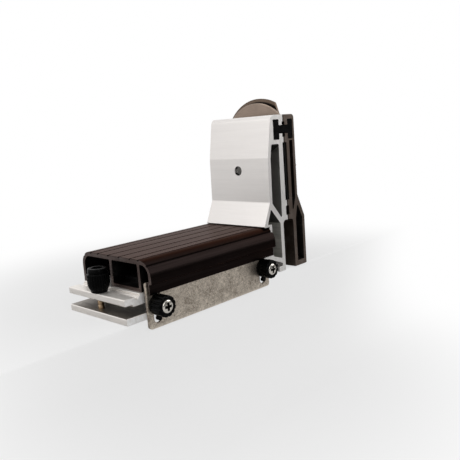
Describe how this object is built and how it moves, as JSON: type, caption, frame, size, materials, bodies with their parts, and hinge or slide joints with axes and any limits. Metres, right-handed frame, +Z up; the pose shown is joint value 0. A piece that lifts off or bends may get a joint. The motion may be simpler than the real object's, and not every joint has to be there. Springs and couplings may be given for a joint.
{
  "type": "hand saw guide",
  "caption": "Two-cheek saw guide tower on a ribbed grip, with a knob-held side fence, a slit adjusting wheel and a small screw clamp at the grip's free end.",
  "frame": {"origin": "on the slit's centre plane, at the middle of the tower's length, at the level of the sole that stands on the board", "axes": "+X from the clamp end of the grip towards the tower and across the slit, +Y along the saw away from the user's fence side, +Z up"},
  "size_m": [0.1227, 0.0598, 0.0942],
  "materials": {
    "grip_anodised": "dark brown anodised, brushed lengthways",
    "cheek_silver": "satin silver anodised",
    "cheek_bronze": "satin bronze anodised",
    "bar_silver": "sawn and brushed",
    "black_plastic": "moulded, glossy",
    "liner_plastic": "low-friction plastic",
    "wheel_steel": "turned and brushed",
    "screw_steel": "zinc plated",
    "dark_steel": "black oxide",
    "stud_brass": "threaded",
    "galvanised": "galvanised, mottled",
    "bright_screw": "bright plated"
  },
  "bodies": {
    "guide_frame": {"grip_extrusion": "grip_anodised", "inner_cheek": "cheek_silver", "outer_cheek": "cheek_bronze", "bridge_key": "black_plastic", "inner_liner": "liner_plastic", "liner_screw": "screw_steel", "key_screw_a": "screw_steel", "key_screw_b": "screw_steel", "key_screw_c": "screw_steel", "key_screw_d": "screw_steel", "upper_clamp_bar": "bar_silver", "guide_pin_a": "screw_steel", "guide_pin_b": "screw_steel", "bar_nut_plate": "screw_steel", "bar_screw_a": "dark_steel", "bar_screw_b": "dark_steel", "foot_nut_plate": "screw_steel", "foot_screw_a": "dark_steel", "foot_screw_b": "dark_steel", "left_washer": "black_plastic", "right_washer": "black_plastic"},
    "gap_wheel_unit": {"gap_wheel": "wheel_steel", "gap_spindle": "screw_steel", "gap_collar": "dark_steel"},
    "outer_liner_strip": {"outer_liner": "liner_plastic"},
    "clamp_knob_unit": {"clamp_knob": "black_plastic", "clamp_stud": "stud_brass", "clamp_clip": "dark_steel"},
    "clamp_jaw": {"lower_clamp_bar": "bar_silver"},
    "fence": {"fence_plate": "galvanised"},
    "left_fastener": {"left_knob": "black_plastic", "left_screw": "bright_screw"},
    "right_fastener": {"right_knob": "black_plastic", "right_screw": "bright_screw"},
    "left_nut_block": {"left_block": "black_plastic"},
    "right_nut_block": {"right_block": "black_plastic"}
  },
  "joints": [
    {"name": "gap_wheel_turn", "type": "hinge", "parent": "guide_frame", "child": "gap_wheel_unit", "pos_m": [0.0095, 0.0059, 0.0642], "axis": [-1, 0, 0], "range_deg": [0, 150]},
    {"name": "liner_slide", "type": "slide", "parent": "guide_frame", "child": "outer_liner_strip", "axis": [1, 0, 0], "range_m": [0, 0.0003]},
    {"name": "clamp_knob_turn", "type": "hinge", "parent": "guide_frame", "child": "clamp_knob_unit", "pos_m": [-0.1024, 0.0037, 0.01015], "axis": [0, 0, -1], "range_deg": [0, 2160]},
    {"name": "clamp_jaw_slide", "type": "slide", "parent": "guide_frame", "child": "clamp_jaw", "axis": [0, 0, 1], "range_m": [0, 0.003]},
    {"name": "fence_slide", "type": "slide", "parent": "guide_frame", "child": "fence", "axis": [0, 0, 1], "range_m": [-0.0025, 0]},
    {"name": "left_knob_turn", "type": "hinge", "parent": "guide_frame", "child": "left_fastener", "pos_m": [-0.0917, -0.025, 0.0056], "axis": [0, -1, 0], "range_deg": [0, 150]},
    {"name": "right_knob_turn", "type": "hinge", "parent": "guide_frame", "child": "right_fastener", "pos_m": [-0.0241, -0.025, 0.0056], "axis": [0, -1, 0], "range_deg": [0, 150]},
    {"name": "left_block_slide", "type": "slide", "parent": "guide_frame", "child": "left_nut_block", "axis": [0, 1, 0], "range_m": [0, 0.00029167]},
    {"name": "right_block_slide", "type": "slide", "parent": "guide_frame", "child": "right_nut_block", "axis": [0, 1, 0], "range_m": [0, 0.00029167]}
  ],
  "couplings": [
    {"joint": "liner_slide", "follows": "gap_wheel_turn", "m_per_rad": 0.00011141},
    {"joint": "clamp_knob_turn", "follows": "clamp_jaw_slide", "rad_per_m": 12566},
    {"joint": "left_knob_turn", "follows": "left_block_slide", "rad_per_m": 8976},
    {"joint": "right_knob_turn", "follows": "right_block_slide", "rad_per_m": 8976}
  ]
}
